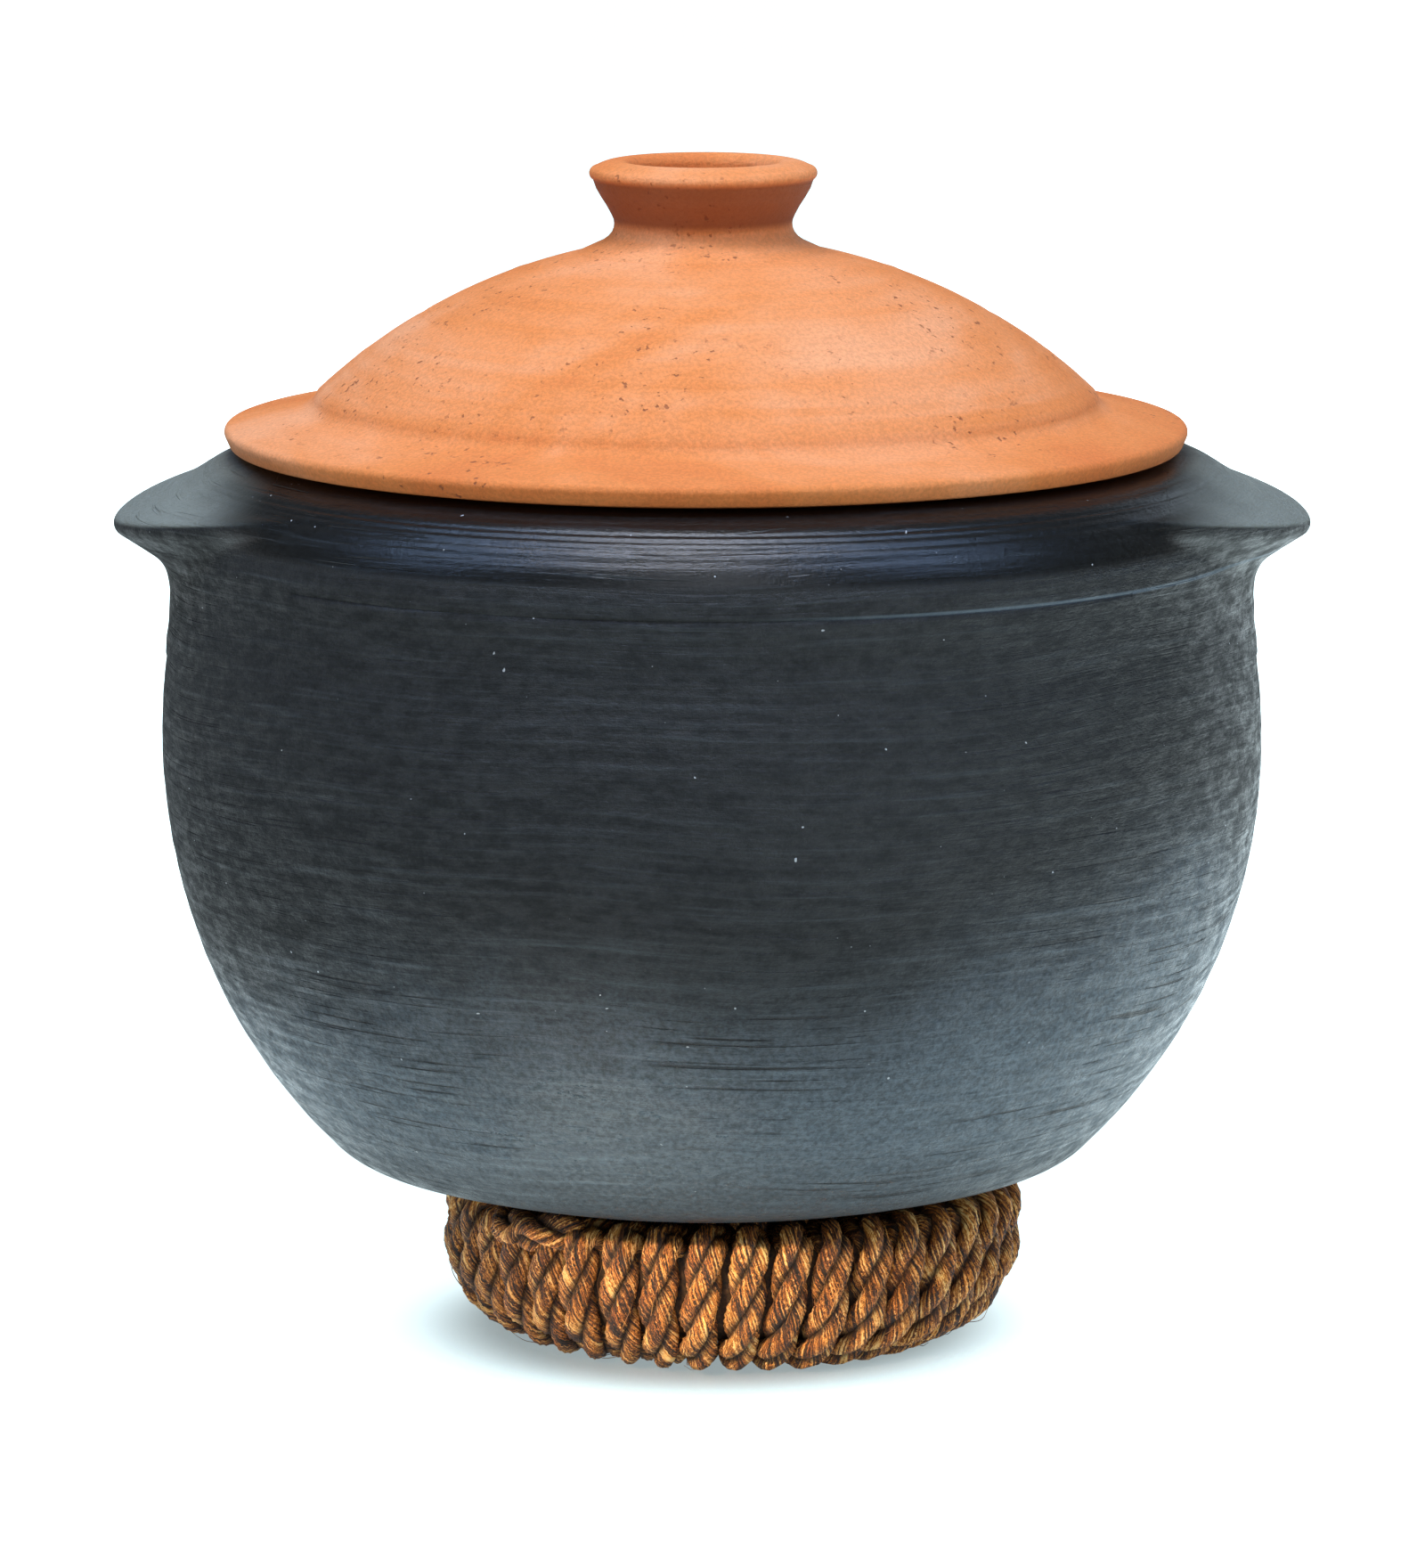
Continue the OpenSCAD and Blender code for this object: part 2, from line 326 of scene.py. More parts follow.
    # The upward-facing tops of the lugs are painted paler grey, a painted top light, in patches with ragged
    # edges
    aside = add(tree, "ShaderNodeMath", {0: apart.outputs["X"]}, operation="ABSOLUTE").outputs[0]
    ragged = add(tree, "ShaderNodeMath", {0: rubbed, 1: 0.024, 2: aside}, operation="MULTIPLY_ADD").outputs[0]
    facing = add(tree, "ShaderNodeSeparateXYZ", {"Vector": geometry.outputs["Normal"]}).outputs["Z"]
    lug_top_light = add(tree, "ShaderNodeMath", {
        0: add(tree, "ShaderNodeMapRange", fade(ragged, 0.112, 0.138), **SOFT).outputs[0],
        1: add(tree, "ShaderNodeMapRange", fade(facing, 0.1, 0.7), **SOFT).outputs[0]},
        operation="MULTIPLY").outputs[0]
    painted_lug_top_light = add(tree, "ShaderNodeMath", {0: lug_top_light, 1: 0.68}, operation="MULTIPLY").outputs[0]
    lugs = add(tree, "ShaderNodeMix", {
        "Factor": painted_lug_top_light, "A": lined, "B": linear("#8c9185")}, data_type="RGBA").outputs["Result"]
    # Scraping left the edge of the seam paler on one side of the pot
    off_seam = add(tree, "ShaderNodeMath", {
        0: apart.outputs["Z"], 1: SEAM_Z * MM + 0.0003}, operation="SUBTRACT")
    near = add(tree, "ShaderNodeMath", {0: off_seam.outputs[0]}, operation="ABSOLUTE").outputs[0]
    scraped = add(tree, "ShaderNodeMath", {
        0: add(tree, "ShaderNodeMapRange", fade(near, 0.0006, 0.0002), **SOFT).outputs[0],
        1: add(tree, "ShaderNodeMapRange", fade(apart.outputs["X"], 0.0, 0.06, 0.0, 0.7), **SOFT).outputs[0]},
        operation="MULTIPLY").outputs[0]
    lugs = add(tree, "ShaderNodeMix", {
        "Factor": scraped, "A": lugs, "B": linear("#56636c")}, data_type="RGBA").outputs["Result"]
    # A few pale specks of lime
    lime = add(tree, "ShaderNodeTexNoise", {"Vector": place, "Scale": 900.0, "Detail": 0.0}).outputs["Fac"]
    colour = add(tree, "ShaderNodeMix", {
        "Factor": add(tree, "ShaderNodeMapRange", fade(lime, 0.888, 0.9), **SOFT).outputs[0],
        "A": lugs, "B": linear("#a9adb0")},
        data_type="RGBA").outputs["Result"]
    # Lumps and wrinkles of 2 to 5 mm that the stone did not reach
    wide_way = add(tree, "ShaderNodeMapping", {"Vector": waved, "Scale": (150, 150, 330)})
    lumps = add(tree, "ShaderNodeTexNoise", {
        "Vector": wide_way.outputs[0], "Scale": 1.0, "Detail": 5.0, "Roughness": 0.75}).outputs["Fac"]
    # Strokes shine, soot dulls them most on one side of the pot, and the shoulder is polished best
    shine = add(tree, "ShaderNodeMapRange", fade(strokes, 0.34, 0.68, 0.50, 0.32), **SOFT).outputs[0]
    side = add(
        tree, "ShaderNodeMapRange", fade(apart.outputs["X"], 0.06, -0.12, 0.12, 0.34), **SOFT).outputs[0]
    thick_soot = add(tree, "ShaderNodeMath", {0: soot, 1: side}, operation="MULTIPLY").outputs[0]
    rough_spots = add(tree, "ShaderNodeMapRange", fade(lumps, 0.35, 0.65, -0.14, 0.18), **SOFT).outputs[0]
    dulled = add(tree, "ShaderNodeMath", {0: shine, 1: thick_soot}, operation="ADD").outputs[0]
    dulled = add(tree, "ShaderNodeMath", {0: dulled, 1: rough_spots}, operation="ADD").outputs[0]
    polish = add(tree, "ShaderNodeMath", {
        0: add(tree, "ShaderNodeMapRange", fade(apart.outputs["Z"], 0.194, 0.198), **SOFT).outputs[0],
        1: add(tree, "ShaderNodeMapRange", fade(ragged, 0.132, 0.112), **SOFT).outputs[0]},
        operation="MULTIPLY").outputs[0]
    polished = add(tree, "ShaderNodeMix", {
        "Factor": polish, "A": dulled, "B": 0.26}, data_type="FLOAT").outputs[0]
    facets = add(tree, "ShaderNodeBump", {
        "Strength": add(tree, "ShaderNodeMapRange", fade(polish, 0.0, 1.0, 0.6, 0.22), **SOFT).outputs[0],
        "Distance": 0.001, "Height": strokes}).outputs[0]
    cuts = add(tree, "ShaderNodeBump", {
        "Strength": 1.0, "Distance": 0.0006, "Height": dark_line, "Normal": facets}, invert=True).outputs[0]
    wrinkled = add(tree, "ShaderNodeBump", {
        "Strength": add(tree, "ShaderNodeMapRange", fade(polish, 0.0, 1.0, 0.7, 0.08), **SOFT).outputs[0],
        "Distance": 0.0012, "Height": lumps, "Normal": cuts}).outputs[0]
    grain = add(tree, "ShaderNodeBump", {
        "Strength": add(tree, "ShaderNodeMapRange", fade(polish, 0.0, 1.0, 0.8, 0.3), **SOFT).outputs[0],
        "Distance": 0.0005, "Height": grit,
        "Normal": wrinkled}).outputs[0]
    surface = add(tree, "ShaderNodeBsdfPrincipled", {
        "Base Color": colour, "Roughness": polished, "Normal": grain, "IOR": 1.43})
    add(tree, "ShaderNodeOutputMaterial", {"Surface": surface.outputs[0]})
    return made


def terracotta():
    """Unglazed orange terracotta, thrown and left rough: dry, matt and finely gritty."""
    made, tree = new_material("unglazed_terracotta")
    place = add(tree, "ShaderNodeTexCoord").outputs["Object"]
    apart = add(tree, "ShaderNodeSeparateXYZ", {"Vector": place})
    # Slow changes of 40 to 90 mm from the firing
    patches = add(tree, "ShaderNodeTexNoise", {
        "Vector": place, "Scale": 14.0, "Detail": 4.0, "Roughness": 0.55, "Distortion": 0.5}).outputs["Fac"]
    # Throwing lines, 1 to 3 mm high and long round the wheel
    level = add(tree, "ShaderNodeMapping", {"Vector": place, "Scale": (10, 10, 380)})
    rings = add(tree, "ShaderNodeTexNoise", {
        "Vector": level.outputs[0], "Scale": 1.0, "Detail": 3.0, "Roughness": 0.5}).outputs["Fac"]
    mixed = add(tree, "ShaderNodeMath", {0: rings, 1: 0.22, 2: patches}, operation="MULTIPLY_ADD").outputs[0]
    tone = add(tree, "ShaderNodeMapRange", fade(mixed, 0.38, 0.84), **SOFT).outputs[0]
    ground = add(tree, "ShaderNodeValToRGB", {"Fac": tone}, stops=[
        (0.0, "#d57537"), (0.4, "#dd8342"), (0.65, "#e28c50"), (1.0, "#e89e6c")])
    # Grit of 0.5 to 1.5 mm
    grit = add(tree, "ShaderNodeTexNoise", {
        "Vector": place, "Scale": 1100.0, "Detail": 4.0, "Roughness": 0.75}).outputs["Fac"]
    flecks = add(tree, "ShaderNodeMapRange", fade(grit, 0.35, 0.65, 0.86, 1.08), **SOFT).outputs[0]
    grained = add(tree, "ShaderNodeMix", {"Factor": 1.0, "A": ground.outputs[0], "B": flecks},
                  data_type="RGBA", blend_type="MULTIPLY").outputs["Result"]
    # Dark pits of 1 to 2 mm, in clusters
    pits = add(tree, "ShaderNodeTexNoise", {
        "Vector": place, "Scale": 430.0, "Detail": 2.0, "Roughness": 0.7}).outputs["Fac"]
    clusters = add(tree, "ShaderNodeTexNoise", {"Vector": place, "Scale": 24.0, "Detail": 2.0}).outputs["Fac"]
    pitted = add(tree, "ShaderNodeMath", {
        0: add(tree, "ShaderNodeMapRange", fade(pits, 0.63, 0.71), **SOFT).outputs[0],
        1: add(tree, "ShaderNodeMapRange", fade(clusters, 0.46, 0.62), **SOFT).outputs[0]},
        operation="MULTIPLY").outputs[0]
    marked = add(tree, "ShaderNodeMix", {
        "Factor": pitted, "A": grained, "B": linear("#9a5530")}, data_type="RGBA").outputs["Result"]
    # The neck under the knob's rim is painted darker brown: painted shade under the rim's overhang
    neck = add(tree, "ShaderNodeMath", {
        0: add(tree, "ShaderNodeMapRange", fade(apart.outputs["Z"], 0.2635, 0.2660), **SOFT).outputs[0],
        1: add(tree, "ShaderNodeMapRange", fade(apart.outputs["Z"], 0.2762, 0.2745), **SOFT).outputs[0]},
        operation="MULTIPLY").outputs[0]
    painted_neck_shade = add(tree, "ShaderNodeMath", {0: neck, 1: 0.8}, operation="MULTIPLY").outputs[0]
    colour = add(tree, "ShaderNodeMix", {
        "Factor": painted_neck_shade, "A": marked, "B": linear("#7a3a1c")}, data_type="RGBA").outputs["Result"]
    lines = add(tree, "ShaderNodeBump", {"Strength": 0.15, "Distance": 0.0008, "Height": rings}).outputs[0]
    holes = add(tree, "ShaderNodeBump", {
        "Strength": 0.6, "Distance": 0.0006, "Height": pitted, "Normal": lines}, invert=True).outputs[0]
    grain = add(tree, "ShaderNodeBump", {
        "Strength": 0.7, "Distance": 0.0005, "Height": grit, "Normal": holes}).outputs[0]
    surface = add(tree, "ShaderNodeBsdfPrincipled", {
        "Base Color": colour, "Roughness": 0.85, "Normal": grain, "IOR": 1.45})
    add(tree, "ShaderNodeOutputMaterial", {"Surface": surface.outputs[0]})
    return made


def palm_rope():
    """Twisted brown palm fibre: coarse, hairy and matt, golden where it is rubbed, with painted shade between
    the strands.
    """
    made, tree = new_material("twisted_palm_fibre_rope")
    lay = add(tree, "ShaderNodeAttribute", attribute_name="fibre_lay").outputs["Vector"]
    # Fibres 0.5 mm thick, seen for 5 to 8 mm before they dive
    thin = add(tree, "ShaderNodeMapping", {"Vector": lay, "Scale": (150, 1900, 1900)})
    fibres = add(tree, "ShaderNodeTexNoise", {
        "Vector": thin.outputs[0], "Scale": 1.0, "Detail": 3.0, "Roughness": 0.65,
        "Distortion": 0.15}).outputs["Fac"]
    # Clumps of like-coloured fibre
    clumped = add(tree, "ShaderNodeMapping", {"Vector": lay, "Scale": (50, 420, 420)})
    clumps = add(tree, "ShaderNodeTexNoise", {
        "Vector": clumped.outputs[0], "Scale": 1.0, "Detail": 2.0, "Roughness": 0.5}).outputs["Fac"]
    mixed = add(tree, "ShaderNodeMath", {0: clumps, 1: 0.4, 2: fibres}, operation="MULTIPLY_ADD").outputs[0]
    tone = add(tree, "ShaderNodeMapRange", {
        "Value": mixed, "From Min": 0.46, "From Max": 0.92, "To Min": 0.0, "To Max": 1.0}).outputs[0]
    colour = add(tree, "ShaderNodeValToRGB", {"Fac": tone}, stops=[
        (0.18, "#0c0502"), (0.40, "#4c250a"), (0.55, "#9c5518"), (0.70, "#e0923a"), (0.86, "#fbcf86")])
    # The grooves between the strands are painted dark: painted shade
    height = add(tree, "ShaderNodeAttribute", attribute_name="rope_height").outputs["Fac"]
    shaded = add(tree, "ShaderNodeMix", {
        "Factor": add(tree, "ShaderNodeMapRange", fade(height, 0.9, 0.6, 0.0, 0.8), **SOFT).outputs[0],
        "A": colour.outputs[0], "B": linear("#160a04")},
        data_type="RGBA").outputs["Result"]
    hairs = add(tree, "ShaderNodeBump", {"Strength": 1.0, "Distance": 0.0009, "Height": fibres})
    surface = add(tree, "ShaderNodeBsdfPrincipled", {
        "Base Color": shaded, "Roughness": 0.62, "Normal": hairs.outputs[0], "IOR": 1.5})
    add(tree, "ShaderNodeOutputMaterial", {"Surface": surface.outputs[0]})
    return made


def straw():
    """Dry palm straw bound into a bundle, painted dark as the shade under the rope."""
    made, tree = new_material("dry_straw_painted_dark")
    place = add(tree, "ShaderNodeTexCoord").outputs["Object"]
    stems = add(tree, "ShaderNodeTexNoise", {
        "Vector": place, "Scale": 700.0, "Detail": 3.0, "Roughness": 0.6})
    colour = add(tree, "ShaderNodeValToRGB", {"Fac": stems.outputs["Fac"]}, stops=[
        (0.35, "#1d1008"), (0.65, "#4a2f16")])
    surface = add(tree, "ShaderNodeBsdfPrincipled", {"Base Color": colour.outputs[0], "Roughness": 0.9})
    add(tree, "ShaderNodeOutputMaterial", {"Surface": surface.outputs[0]})
    return made


# ---------------------------------------------------------------- pot

# How far hands have pushed the clay in and out, and how far the seam is rounded back, in mm
HAND = 0.7
SEAM_SETBACK = 0.14


def make_bowl(material):
    """The bowl, with its wall, up to the seam, where its edge is rounded off a little."""
    outer = body_line(0, 1.6)
    outer[-1] = (outer[-1][0] - SEAM_SETBACK, outer[-1][1])
    bm = spun(outer + body_line(WALL, 4)[::-1])
    hand_shaped(bm, HAND)
    return finished("bowl", bm, "pot", "black_clay", material, "pot_body")


def shoulder_skin(step):
    """The shoulder's outside, with the fine lines that the wheel left near its top."""
    lines = [(13.0, 0.9, 0.10), (16.2, 0.5, 0.22), (18.6, 0.4, 0.2), (20.6, 0.4, 0.24), (24.5, 0.9, 0.1)]
    return grooved(shoulder_line(0, step), lines)


def make_shoulder(material):
    """The rolled shoulder coil, with turned lines and a rounded mouth."""
    outer = shoulder_skin(0.45)
    outer[0] = (outer[0][0] - SEAM_SETBACK, outer[0][1])
    lip = arc((MOUTH_R + WALL / 2, MOUTH_Z - WALL / 2), WALL / 2, 90, 270, 1)
    bm = spun(outer + lip + shoulder_line(WALL, 2)[::-1])
    hand_shaped(bm, HAND)
    return finished("shoulder", bm, "pot", "black_clay", material, "pot_rim")


# The lug's edge follows a circle round an upright axis of its own
LUG_PLAN_R = 83.0
LUG_AXIS_X = lug_high.x - LUG_PLAN_R
LUG_EDGE_Z = 194.4
LUG_EDGE_R = 2.6
LUG_TOP_SLOPE = 26
LUG_UNDER_SLOPE = 32
LUG_HOLLOW_R = 11
LUG_FOOT_Z = 172.0
# The edge rises to both sides: LUG_CLIMB mm for each LUG_SPREAD degrees, after a soft start
LUG_SPREAD = 30
LUG_CLIMB = 9.5
LUG_SOFT_START = 0.3
# Width over which a lug's faces are eased into the wall
LUG_EASE = 5.0
# The lug's skin lies this far under the wall's where no lug stands out
LUG_SKIN = 0.04
# How far the lug's root goes into the clay
LUG_ROOT_DEPTH = 3.0


def lug_section():
    """Points of (distance from the lug's own axis, height), from the hollow under it to its crown."""
    root = SEAM_R - LUG_AXIS_X
    top, below = math.radians(LUG_TOP_SLOPE), math.radians(LUG_UNDER_SLOPE)
    edge = (LUG_PLAN_R - LUG_EDGE_R, LUG_EDGE_Z)
    crest = (edge[0] + LUG_EDGE_R * math.sin(top), edge[1] + LUG_EDGE_R * math.cos(top))
    under = (edge[0] + LUG_EDGE_R * math.sin(below), edge[1] - LUG_EDGE_R * math.cos(below))
    brow = (root - 5, crest[1] + (crest[0] - root + 5) * math.tan(top))
    hollow_x = root - 0.8 + LUG_HOLLOW_R
    hollow = (hollow_x, under[1] - (under[0] - hollow_x) * math.tan(below) - LUG_HOLLOW_R / math.cos(below))
    return (
        [(root - 0.8, hollow[1] - 12)]
        + arc(hollow, LUG_HOLLOW_R, 180, 90 + LUG_UNDER_SLOPE, 0.6)
        + arc(edge, LUG_EDGE_R, LUG_UNDER_SLOPE - 90, 90 - LUG_TOP_SLOPE, 0.3)
        + [brow, (root - 14, MOUTH_Z - 1), (root - 30, MOUTH_Z + 1)]
    )


def lowered(height, angle):
    """Where a height lies on the lug's middle section: its edge climbs towards the shoulder on both sides."""
    aside = abs(angle) / math.radians(LUG_SPREAD)
    climb = LUG_CLIMB * min(math.hypot(aside, LUG_SOFT_START) - LUG_SOFT_START, 1.2)
    edge = LUG_EDGE_Z + climb
    if height < edge:
        share = max(height - LUG_FOOT_Z, 0.0) / (edge - LUG_FOOT_Z)
        return LUG_FOOT_Z + share * (LUG_EDGE_Z - LUG_FOOT_Z)
    share = min((height - edge) / (MOUTH_Z - edge), 1.0)
    return LUG_EDGE_Z + share * (MOUTH_Z - LUG_EDGE_Z)


def across(points, height):
    """The distance at which a rising outline reaches a height."""
    for (r0, z0), (r1, z1) in zip(points, points[1:]):
        if z0 <= height <= z1:
            return r0 + (r1 - r0) * (height - z0) / max(z1 - z0, 1e-6)
    return points[-1][0] if height > points[-1][1] else points[0][0]


def blended(a, b, width):
    """The larger of two numbers, with the corner between them eased over a width."""
    near = max(width - abs(a - b), 0.0) / width
    return max(a, b) + near * near * width / 4


def make_lug(name, side, node, material):
    """A ledge lug drawn out of the wall and shoulder, with its faces eased into them."""
    section = lug_section()
    wall = [p for p in body_line(0, 0.45) if p[1] > LUG_FOOT_Z - 8] + shoulder_skin(0.45)[1:]
    wall = [p for p in wall if p[0] > MOUTH_R + 9.5]
    spread = math.radians(42)
    bm = bmesh.new()
    turned = [bm.verts.new((r * MM * math.cos(spread), -r * MM * math.sin(spread), z * MM)) for r, z in wall]
    edges = [bm.edges.new(pair) for pair in zip(turned, turned[1:])]
    bmesh.ops.spin(bm, geom=turned + edges, cent=(0, 0, 0), axis=(0, 0, 1),
                   angle=2 * spread, steps=110, use_merge=False)
    for vert in bm.verts:
        angle = math.atan2(vert.co.y, vert.co.x)
        reach = math.hypot(vert.co.x, vert.co.y) / MM
        out = across(section, lowered(vert.co.z / MM, angle))
        aside = LUG_AXIS_X * math.sin(angle)
        edge = LUG_AXIS_X * math.cos(angle) + math.sqrt(max(out ** 2 - aside ** 2, 0.0))
        full = blended(reach, edge, LUG_EASE) - LUG_SKIN
        vert.co.x *= full / reach
        vert.co.y *= full / reach
    if side < 0:
        bmesh.ops.scale(bm, vec=(-1, 1, 1), verts=bm.verts)
    hand_shaped(bm, HAND)
    bmesh.ops.recalc_face_normals(bm, faces=bm.faces)
    skin = bmesh.ops.extrude_face_region(bm, geom=bm.faces[:])
    for vert in [g for g in skin["geom"] if isinstance(g, bmesh.types.BMVert)]:
        reach = math.hypot(vert.co.x, vert.co.y) / MM
        kept = min(reach, SEAM_R) - LUG_ROOT_DEPTH
        vert.co.x *= kept / reach
        vert.co.y *= kept / reach
        vert.co.z -= 1.0 * MM
    bmesh.ops.recalc_face_normals(bm, faces=bm.faces)
    return finished(name, bm, "pot", "black_clay", material, node)


# ---------------------------------------------------------------- lid

def dome_height(r):
    """Height of the dome's outside at a distance from its middle."""
    return DOME_Z + math.sqrt(DOME_R ** 2 - r * r)


def make_lid(material):
    """The thrown lid: dome, crease, flange with a soft edge, and the lip under it."""
    start = math.degrees(math.acos((CREASE_R - 2) / DOME_R))
    dome = arc((0, DOME_Z), DOME_R, 90, start, 1.2)
    edge_r, corner_r, side_lean = 1.5, 1.1, 24
    facing = math.radians(side_lean)
    slope = math.radians(FLANGE_SLOPE)
    edge = (LID_R - edge_r, FLANGE_Z + 4.8)
    crown = (edge[0] + edge_r * math.sin(slope), edge[1] + edge_r * math.cos(slope))
    foot = (CREASE_R + 2.5, crown[1] + (crown[0] - CREASE_R - 2.5) * math.tan(slope))
    crease = []
    for i in range(1, 6):
        t = i / 6
        a, b, c = dome[-1], (CREASE_R - 0.2, foot[1] + 0.4), foot
        crease.append(tuple((1 - t) ** 2 * a[k] + 2 * t * (1 - t) * b[k] + t * t * c[k] for k in (0, 1)))
    flange = [
        (foot[0] + (crown[0] - foot[0]) * i / 12, foot[1] + (crown[1] - foot[1]) * i / 12)
        for i in range(12)]
    # The side of the flange leans in below its edge, and its foot stands clear of the shoulder
    side_height = 2.5
    corner = (
        edge[0] + (edge_r - corner_r) * math.cos(facing) - side_height * math.sin(facing),
        edge[1] - (edge_r - corner_r) * math.sin(facing) - side_height * math.cos(facing),
    )
    edge_line = arc(edge, edge_r, 90 - FLANGE_SLOPE, -side_lean, 0.4)
    under = arc(corner, corner_r, -side_lean, -100, 0.4) + [(LID_R - 7.5, FLANGE_Z + 0.3)]
    lip_r, lip_inner = 95.0, 89.0
    lip = arc((lip_r - 2, FLANGE_Z - LIP_DROP + 2), 2, 0, -90, 0.7)
    lip_in = arc((lip_inner + 2, FLANGE_Z - LIP_DROP + 2), 2, -90, -180, 0.7)
    end = math.degrees(math.acos(lip_inner / (DOME_R - DOME_WALL)))
    hollow = arc((0, DOME_Z), DOME_R - DOME_WALL, end, 90, 2.5)
    top = grooved(dome + crease + flange, [
        (24, 1.2, -0.12), (47, 0.9, 0.12), (71, 1.3, -0.15),
        (88, 0.9, 0.1), (103, 0.8, -0.22), (112, 0.9, 0.15)])
    outline = without_doubles(
        top + edge_line + under + [(lip_r + 1.5, FLANGE_Z), (lip_r, FLANGE_Z - 1)] + lip + lip_in + hollow)
    bm = spun(outline, closed=False)
    hand_shaped(bm, 0.45, seed=5.0)
    bmesh.ops.translate(bm, vec=(LID_X * MM, 0, 0), verts=bm.verts)
    return finished("lid", bm, "lid", "terracotta", material, "lid_dome")


def make_knob(material):
    """The hollow flared knob: a rolled rim, a steep neck, and a tight fillet where it is luted on."""
    top = knob_high.z - 0.8
    rim_r, edge_r, crest_r, mouth_r, cup_r = knob_high.y - 0.1, 1.6, 20.3, 16.9, 14.0
    outline = without_doubles(
        [(30.5, dome_height(30.5) - 1.5), (29.0, dome_height(29.0) + 0.05), (26.4, dome_height(26.4) + 0.7)]
        + [(23.7, top - 18.9), (22.3, top - 17.9), (21.4, top - 16.8), (20.95, top - 15.7)]
        + [(20.85, top - 14.7), (21.0, top - 13.7), (21.5, top - 12.6), (22.6, top - 10.5)]
        + [(23.9, top - 8.45), (25.1, top - 6.4), (25.5, top - 5.2)]
        + arc((rim_r - edge_r, top - 2.9), edge_r, -62, 58, 0.3)
        + arc((crest_r, top - 10.0), 10.0, 61, 90, 0.6)
        + arc((mouth_r + 2.6, top - 2.6), 2.6, 90, 190, 0.5)
        + [(cup_r + 1.6, top - 11.5), (cup_r + 0.5, top - 14.5)]
        + arc((cup_r - 3.5, dome_height(cup_r) + 4.2), 4, 0, -80, 0.8)
        + [(6, dome_height(6) + 0.25), (0.0, dome_height(0) + 0.25), (0.0, dome_height(0) - 1.5)]
        + [(12, dome_height(12) - 1.5), (20, dome_height(20) - 1.5)]
    )
    bm = spun(outline, steps=160)
    hand_shaped(bm, 0.6, seed=9.0)
    bmesh.ops.translate(bm, vec=((LID_X - 0.7) * MM, 0, 0), verts=bm.verts)
    return finished("knob", bm, "lid", "terracotta", material, "lid_knob")


# ---------------------------------------------------------------- rope ring

STRAND_R = 2.35
STRAND_OFFSET = 2.2
LAY_LENGTH = 36.0
YARN_LENGTH = 12.0
ROPE_R = ROPE_D / 2
TAIL_LENGTH = 40.0
TAIL_ANGLE = math.radians(-90 - 54)
STRAY_FIBRES = 260


def winding_loop():
    """The line that the rope's middle follows round the core, as evenly spaced (radius, height) points."""
    outer, inner = RING_R - ROPE_R, RING_HOLE_R + ROPE_R
    line = (
        arc((outer - 17.5, 22.4), 17.5, -90, 0, 1)
        + arc((outer - 5, 30.5), 5, 0, 80, 1)
        + arc((inner + 5, 26.5), 5, 100, 180, 1)
        + arc((inner + 7.5, 12.4), 7.5, 180, 270, 1)
    )
    line.append(line[0])
    walked = [0.0]
    for a, b in zip(line, line[1:]):
        walked.append(walked[-1] + math.dist(a, b))
    count = 240
    even, j = [], 0
    for i in range(count):
        at = walked[-1] * i / count
        while walked[j + 1] < at:
            j += 1
        t = (at - walked[j]) / max(walked[j + 1] - walked[j], 1e-9)
        (r0, z0), (r1, z1) = line[j], line[j + 1]
        even.append((r0 + (r1 - r0) * t, z0 + (z1 - z0) * t))
    return even, walked[-1]


LOOP, LOOP_LENGTH = winding_loop()


def seat_height(x, y, cover):
    """The highest that something cover mm thick may reach under the pot's rounded base."""
    return BASE_CENTRE[1] - math.sqrt(BASE_CURVE_R ** 2 - x * x - y * y) - 0.3 - cover


def winding_point(s):
    """Middle of the rope, s mm along it, in mm."""
    turn = s / LOOP_LENGTH
    place = (turn % 1.0) * len(LOOP)
    i = int(place)
    t = place - i
    (r0, z0), (r1, z1) = LOOP[i % len(LOOP)], LOOP[(i + 1) % len(LOOP)]
    r, z = r0 + (r1 - r0) * t, z0 + (z1 - z0) * t
    lean = 0.10 * noise.noise(Vector((turn * 1.13, 1.0, 1.0)))
    lean += 0.08 * noise.noise(Vector((turn * 3.1, 8.0, 0.0)))
    angle = TAIL_ANGLE + (turn + lean) * math.tau / TURNS
    slack = 1.3 * noise.noise(Vector((turn * 1.9, 4.0, 2.0)))
    r += slack if r > RING_R - 20 else 0.3 * slack
    x, y = RING_X + r * math.cos(angle), r * math.sin(angle)
    z = min(z, seat_height(x, y, ROPE_R + 0.3))
    return Vector((x, y, max(z, ROPE_R + 0.15)))


def tail_point(s):
    """Middle of the rope's end, s mm along it: out from under one turn, over three, and in again."""
    t = s / TAIL_LENGTH
    angle = TAIL_ANGLE + math.radians(-3 + 22 * t)
    rise = math.sin(math.pi * min(max(t, 0.0), 1.0)) ** 0.6
    r = RING_R - 7.5 + 6.5 * rise
    return Vector((RING_X + r * math.cos(angle), r * math.sin(angle), 33.0 + 1.4 * t))


def rolled(bm, steps, sides):
    """Adds a sheet to roll into a tube: each vertex with its share of the way along, and its angle."""
    sheet = bmesh.ops.create_grid(bm, x_segments=steps, y_segments=sides, size=0.5)["verts"]
    return [(vert, vert.co.x + 0.5, (vert.co.y + 0.5) * math.tau) for vert in sheet]


def across_rope(point_at, s):
    """The rope's middle at s, with the directions sideways and outwards across it."""
    here, ahead, back = point_at(s), point_at(s + 1.0), point_at(s - 1.0)
    along = (ahead - back).normalized()
    side = Vector((here.x - RING_X, here.y, 0)).normalized().cross(Vector((0, 0, 1)))
    side = (side - along * side.dot(along)).normalized()
    return here, side, along.cross(side)


